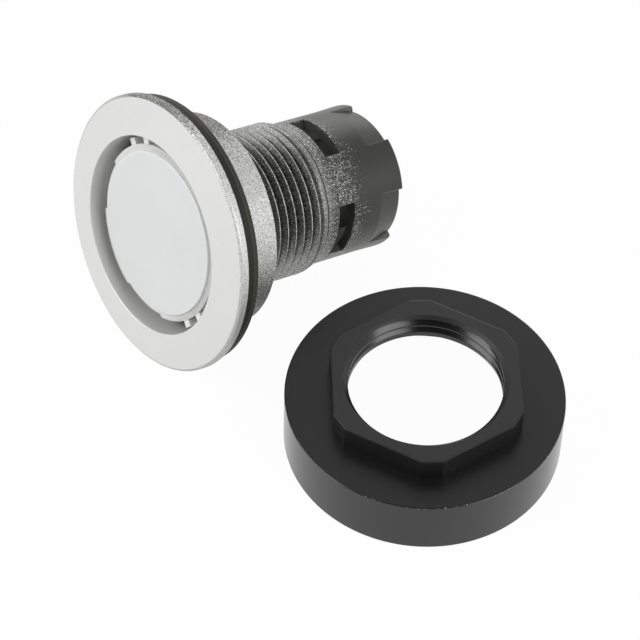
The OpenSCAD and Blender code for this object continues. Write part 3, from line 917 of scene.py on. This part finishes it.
def nut_plastic():
    finish = Finish("nut_plastic", specular_ior_level=0.5)
    where = finish.upright(NUT)
    x, y, z = finish.axes(where)
    radius = axis_distance(x, y)
    grain = finish.noise(where, 5.0, 3.0, 0.6)
    in_bore = 1 - finish.rise(radius, BORE_SKIN_R, BORE_SKIN_R + 0.3)
    in_bore = in_bore * (1 - finish.rise(z, nut_top_z - 0.4, nut_top_z - 0.3))
    # Light grey nicks along the rim's top edge: real burrs, painted lighter as the glints they catch.
    rim = finish.rise(radius, nut_r - 0.16, nut_r - 0.04)
    rim = rim * finish.rise(z, NUT_RIM_H - 0.25, NUT_RIM_H - 0.1)
    nick_glints = rim * finish.rise(finish.noise(where, 2.2, 2.0, 0.7), 0.62, 0.7)
    dark = finish.blend(finish.rise(grain, 0.35, 0.65), NUT_BLACK, tone(NUT_BLACK, NUT_LIGHT))
    finish.feed("Base Color", finish.blend(nick_glints, dark, NICK_GLINT_GREY))
    on_wall = finish.rise(radius, nut_r - 0.2, nut_r - 0.05)
    on_hexagon = finish.rise(z, NUT_RIM_H + 0.1, NUT_RIM_H + 0.4)
    finish.feed("Roughness", 0.26 + 0.06 * grain - 0.1 * on_wall + 0.15 * on_hexagon - 0.23 * in_bore)
    finish.bump(grain * (1 - in_bore), 0.06, 0.02)
    return finish.material


# %% Model the nut
HEX_AF = 25.5
HEX_CORNER_R = 13.9
HEX_EDGE = 0.18
HEX_TOP_R = 12.0
SHARP_TURN = 0.25
NUT_WEB = 1.4
NUT_CLEAR = 2.2
NUT_EDGE = 0.16
LEAD_IN = 0.65
LEAD_DEPTH = 0.42
REAR_LEAD_IN = 0.9
PLAIN_LEN = 1.6
NUT_LIFT = 0.55
LIP = 0.12
NUT_THREAD_DEPTH = 0.74
NUT_CREST = 0.26
FLAT_CUTS = 17
CORNER_CUTS = 5
nut_bore_r = mounts["nut_thread"]["dims"]["r_mm"]
nut_hollow_r = shoulder_r + NUT_CLEAR
nut_hollow_z = NUT_RIM_H - NUT_WEB


def extend(bm, loop, place):
    """Extrudes a loop of edges, puts each new vertex in place, and returns the new loop."""
    made = bmesh.ops.extrude_edge_only(bm, edges=loop)["geom"]
    verts = {item for item in made if isinstance(item, bmesh.types.BMVert)}
    for vert in verts:
        vert.co = place(vert.co)
    edges = {edge for vert in verts for edge in vert.link_edges if set(edge.verts) <= verts}
    return list(edges)


def on_ring(radius, level):
    """A place function: straight out to a ring."""
    def place(point):
        out = point.xy.normalized() * radius
        return Vector((out.x, out.y, level))
    return place


def bevel_where(bm, width, segments, test):
    """Bevels the edges that turn sharply and have both ends where the test says."""
    edges = [edge for edge in bm.edges
             if edge.calc_face_angle(0) > SHARP_TURN and all(test(vert.co) for vert in edge.verts)]
    round_off(bm, edges, width, segments)
    return len(edges)


def bore_shape(radius, level):
    """Opens the nut's thread towards both mouths, and leaves a plain ring next to the hollow."""
    front = LEAD_IN * (1 - (nut_top_z - level) / LEAD_DEPTH)
    rear = REAR_LEAD_IN - (level - nut_hollow_z)
    if level < nut_hollow_z + PLAIN_LEN:
        radius = nut_bore_r
    return max(radius, nut_bore_r + front, nut_bore_r + rear)


def hexagon_outline(bm):
    """The hexagon with its corners cut off, with points enough for a round rim."""
    point_r = HEX_AF / math.sqrt(3)
    bmesh.ops.create_circle(bm, cap_ends=False, radius=point_r, segments=6)
    bmesh.ops.rotate(bm, verts=bm.verts, cent=(0, 0, 0), matrix=Matrix.Rotation(math.radians(30), 3, "Z"))
    corner_cut = 2 * (point_r - HEX_CORNER_R)
    round_off(bm, bm.verts[:], corner_cut, 1, "VERTICES")
    longest_corner = point_r / 3
    flats = [edge for edge in bm.edges if edge.calc_length() > longest_corner]
    corners = [edge for edge in bm.edges if edge.calc_length() <= longest_corner]
    bmesh.ops.subdivide_edges(bm, edges=flats, cuts=FLAT_CUTS)
    bmesh.ops.subdivide_edges(bm, edges=corners, cuts=CORNER_CUTS)
    bmesh.ops.translate(bm, verts=bm.verts, vec=(0, 0, nut_top_z))
    return bm.edges[:]


def model_nut():
    bm = bmesh.new()
    outline = hexagon_outline(bm)
    mouth_r = nut_bore_r + LEAD_IN + LIP
    rear_mouth_r = nut_bore_r + REAR_LEAD_IN + LIP
    mouth = extend(bm, outline, on_ring(mouth_r, nut_top_z))
    loop = extend(bm, outline, lambda point: Vector((point.x, point.y, NUT_RIM_H)))
    for radius, level in ((nut_r, NUT_RIM_H), (nut_r, 0), (nut_hollow_r, 0), (nut_hollow_r, nut_hollow_z),
                          (rear_mouth_r, nut_hollow_z)):
        loop = extend(bm, loop, on_ring(radius, level))
    plain_verts = set(bm.verts)
    crest_low = (PITCH - NUT_CREST) / 2
    ridge = [(nut_bore_r + NUT_THREAD_DEPTH, 0),
             (nut_bore_r, crest_low, 0.05),
             (nut_bore_r, crest_low + NUT_CREST, 0.05),
             (nut_bore_r + NUT_THREAD_DEPTH, PITCH)]
    wind_thread(bm, ridge, nut_hollow_z, nut_top_z, NUT_LIFT, bore_shape)
    for plain_end, level in ((mouth, nut_top_z), (loop, nut_hollow_z)):
        wound_end = [edge for edge in loop_at(bm, level) if not plain_verts & set(edge.verts)]
        bmesh.ops.bridge_loops(bm, edges=plain_end + wound_end)
    bmesh.ops.recalc_face_normals(bm, faces=bm.faces)
    top = bevel_where(bm, HEX_EDGE, 2, lambda p: p.z > nut_top_z - WELD and p.xy.length > HEX_TOP_R)
    rim = bevel_where(bm, NUT_EDGE, 3, lambda p: abs(p.xy.length - nut_r) < WELD)
    base = bevel_where(bm, NUT_EDGE, 3, lambda p: abs(p.xy.length - nut_hollow_r) < WELD)
    print("bevelled edges of the nut:", top, rim, base)
    return finish_piece(bm, "black_nut", NUT, "head", "fixing_nut", nut_plastic())


model_nut()

# %% [markdown]
# ## Return spring
# The spring stands round the stem, between the sleeve and the plunger's hub. A small circle is spun
# along a helix, close at both ends and open between them.

# %% Steel wire and the spring
WIRE_D = 0.7
WIRE_SIDES = 10
WIRE_SHARP = math.radians(60)
WIRE_DARK = (0.5, 0.5, 0.51)
WIRE_LIGHT = (0.66, 0.67, 0.68)
SPRING_TURNS = 5
SPRING_STEPS = 32
COIL_GAP = 0.05
spring_low, spring_high, spring_outer_r = span("return_spring", HEAD)


def spring_steel():
    finish = Finish("spring_steel", metallic=1.0)
    where = finish.upright(HEAD)
    drawn = finish.noise(where, 3.0, 3.0, 0.7)
    finish.feed("Base Color", finish.blend(drawn, WIRE_DARK, WIRE_LIGHT))
    finish.feed("Roughness", 0.25 + 0.2 * drawn)
    return finish.material


def model_spring():
    bm = bmesh.new()
    coil_r = spring_outer_r - WIRE_D / 2
    ring = bmesh.ops.create_circle(bm, cap_ends=True, radius=WIRE_D / 2, segments=WIRE_SIDES)["verts"]
    bmesh.ops.rotate(bm, verts=ring, cent=(0, 0, 0), matrix=Matrix.Rotation(math.pi / 2, 3, "X"))
    bmesh.ops.translate(bm, verts=ring, vec=(coil_r, 0, spring_low + WIRE_D / 2))
    closed_rise = WIRE_D + COIL_GAP
    open_turns = SPRING_TURNS - 2
    open_rise = (spring_high - spring_low - WIRE_D - 2 * closed_rise) / open_turns
    tip = bm.faces[:] + bm.edges[:] + bm.verts[:]
    for turns, climb in ((1, closed_rise), (open_turns, open_rise), (1, closed_rise)):
        tip = bmesh.ops.spin(bm, geom=tip, cent=(0, 0, 0), axis=(0, 0, 1), angle=2 * math.pi * turns,
                             dvec=(0, 0, climb / SPRING_STEPS), steps=turns * SPRING_STEPS)["geom_last"]
    piece = finish_piece(bm, "coil_spring", HEAD, "head", "return_spring", spring_steel(),
                         WIRE_SHARP)
    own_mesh(piece)
    return piece


model_spring()

# %% [markdown]
# ## Inner pieces
# The plunger, the diffuser and the seal sit inside, and only the windows and the open tail show them.
# Their solids already have the right form, so they keep it and only get finishes. The plunger's stem,
# hooks and carrier, which show in shade through the windows and the slot round the lens, are painted
# greyer than the rest of it: a painted light that lifts that shade.

# %% Finishes of the inner pieces
PLUNGER_GREY = (0.16, 0.16, 0.155)
SHADE_LIFT_GREY = (0.36, 0.36, 0.35)
DIFFUSER_WHITE = (0.76, 0.76, 0.75)
GRAIN_BLACK = (0, 0, 0)
STEM_R = 6.5
CARRIER_R = 11.2


def moulded_plastic(name, colour, shade_lift_colour, roughness, gloss):
    finish = Finish(name, specular_ior_level=gloss)
    where = finish.upright(HEAD)
    x, y, z = finish.axes(where)
    radius = axis_distance(x, y)
    behind = 1 - finish.rise(z, neck_z - 0.2, neck_z)
    stem = finish.rise(radius, STEM_R - 0.1, STEM_R) * behind
    # Stem and carrier take the lighter grey: a painted light that lifts their shade.
    shade_lift = stem.larger(finish.rise(radius, CARRIER_R - 0.1, CARRIER_R))
    grain = finish.noise(where, 5.0, 2.0)
    tint = finish.blend(shade_lift, colour, shade_lift_colour)
    finish.feed("Base Color", finish.blend(0.15 * grain, tint, GRAIN_BLACK))
    finish.feed("Roughness", roughness + 0.15 * grain)
    finish.bump(grain, 0.08, 0.03)
    return finish.material


def dress_node(node, material):
    """Gives a node that keeps its own solid a finish."""
    mesh = frame["nodes"][node].data
    mesh.materials.clear()
    mesh.materials.append(material)
    print("dressed", node)


dress_node("plunger", moulded_plastic("plunger_plastic", PLUNGER_GREY, SHADE_LIFT_GREY, 0.55, 0.2))
dress_node("diffuser_disc", moulded_plastic("diffuser_plastic", DIFFUSER_WHITE, DIFFUSER_WHITE, 0.5, 0.4))
dress_node("plunger_seal", dusty_rubber("seal_rubber"))

# %% [markdown]
# ## Floor, light and camera
# The object lies on a white sweep in soft studio light. The floor takes light and shadow as white
# paper does, but the camera sees it lifted to white, and so do reflections. Large soft lamps stand to
# the left for the flange, to the right for the near side of the shoulder, and behind for the nut's
# top. Glossy black plastic mirrors what stands round it, so the world is darker for reflections
# overhead and on one side: that keeps the nut's hexagon and its hole dark.

# %% Floor
FLOOR_HALF = 3.0
FLOOR_WHITE = 0.86
WHITE_SHARE = 0.97


def white_seen(graph, strength):
    """Share of rays that see plain white: camera, glossy and transmission rays."""
    seen = graph.node("ShaderNodeLightPath", output="Is Camera Ray")
    rays = seen.socket.node.outputs
    for name in ("Is Glossy Ray", "Is Transmission Ray"):
        seen = seen.larger(Value(graph, rays[name]))
    return strength * seen


def lay_floor():
    bm = bmesh.new()
    bmesh.ops.create_grid(bm, x_segments=1, y_segments=1, size=FLOOR_HALF)
    bmesh.ops.translate(bm, verts=bm.verts, vec=(0, 0, nut_foot.z))
    mesh = bpy.data.meshes.new("floor")
    bm.to_mesh(mesh)
    bm.free()
    finish = Finish("floor_paper", roughness=0.9, specular_ior_level=0.0)
    finish.shader.inputs["Base Color"].default_value = (FLOOR_WHITE, FLOOR_WHITE, FLOOR_WHITE, 1)
    glow = finish.node("ShaderNodeEmission", None, {"Color": (1, 1, 1, 1), "Strength": 1.0})
    paper = Value(finish, finish.shader.outputs["BSDF"])
    seen = finish.node("ShaderNodeMixShader", None, {0: white_seen(finish, WHITE_SHARE), 1: paper, 2: glow})
    output = finish.tree.nodes["Material Output"]
    finish.tree.links.new(seen.socket, output.inputs["Surface"])
    mesh.materials.append(finish.material)
    floor = bpy.data.objects.new("floor", mesh)
    bpy.context.scene.collection.objects.link(floor)
    print("floor at", round(nut_foot.z / MM, 3), "mm")


lay_floor()

# %% World and lamps
WORLD_LIGHT = 0.30
DARK_SIDE = Vector((0.75, -0.6, 0.25)).normalized()
SIDE_DIM = 0.85
OVERHEAD_DIM = 0.45


class WorldGraph(Finish):
    """The world's graph, with the same methods as a finish."""

    def __init__(self, name):
        world = bpy.data.worlds.new(name)
        world.use_nodes = True
        self.tree = world.node_tree
        bpy.context.scene.world = world


def light_world():
    graph = WorldGraph("studio")
    way = graph.node("ShaderNodeTexCoord", output="Generated")
    towards = graph.node("ShaderNodeVectorMath", {"operation": "DOT_PRODUCT"},
                         {0: way, 1: DARK_SIDE}, "Value")
    gloss = graph.node("ShaderNodeLightPath", output="Is Glossy Ray")
    overhead = graph.rise(graph.axes(way)[2], 0.5, 0.75)
    aside = graph.rise(towards, 0.5, 0.8)
    dim = gloss * (1 - (1 - SIDE_DIM * aside) * (1 - OVERHEAD_DIM * overhead))
    level = (white_seen(graph, 1.0 - WORLD_LIGHT) + WORLD_LIGHT) * (1 - dim)
    background = graph.tree.nodes["Background"]
    background.inputs["Color"].default_value = (1, 1, 1, 1)
    graph.tree.links.new(level.socket, background.inputs["Strength"])


def soft_lamp(name, place, size, power):
    """A square soft lamp that looks at the object."""
    light = bpy.data.lights.new(name, "AREA")
    light.shape = "SQUARE"
    light.size = size
    light.energy = power
    lamp = bpy.data.objects.new(name, light)
    lamp.location = place
    lamp.rotation_euler = (-Vector(place)).to_track_quat("-Z", "Y").to_euler()
    bpy.context.scene.collection.objects.link(lamp)
    print(name, power, "W")


light_world()
soft_lamp("left_lamp", (-0.30, -0.68, 0.50), 0.6, 4.75)
soft_lamp("right_lamp", (0.70, 0.20, 0.48), 0.5, 3.5)
soft_lamp("back_lamp", (-0.62, 0.47, 0.30), 0.7, 1.7)

# %% Camera
CAMERA_PLACE = Vector((0.22380, -0.14373, 0.30328))
VIEW_WAY = Vector((-0.50695, 0.38335, -0.77204))
IMAGE_RIGHT = Vector((0.58437, 0.81127, 0.0191))
LENS_MM = 164.88
SENSOR_MM = 36.0
CLIP_START = 0.01


def set_camera():
    data = bpy.data.cameras.new("camera")
    data.lens = LENS_MM
    data.sensor_width = SENSOR_MM
    data.clip_start = CLIP_START
    camera = bpy.data.objects.new("camera", data)
    up = IMAGE_RIGHT.cross(VIEW_WAY).normalized()
    turned = Matrix((IMAGE_RIGHT.normalized(), up, -VIEW_WAY.normalized())).transposed()
    camera.matrix_world = Matrix.Translation(CAMERA_PLACE) @ turned.to_4x4()
    bpy.context.scene.collection.objects.link(camera)
    bpy.context.scene.camera = camera
    bpy.context.scene.view_settings.view_transform = "Standard"
    print(f"camera {CAMERA_PLACE.length / MM:.0f} mm from the panel's centre")


set_camera()
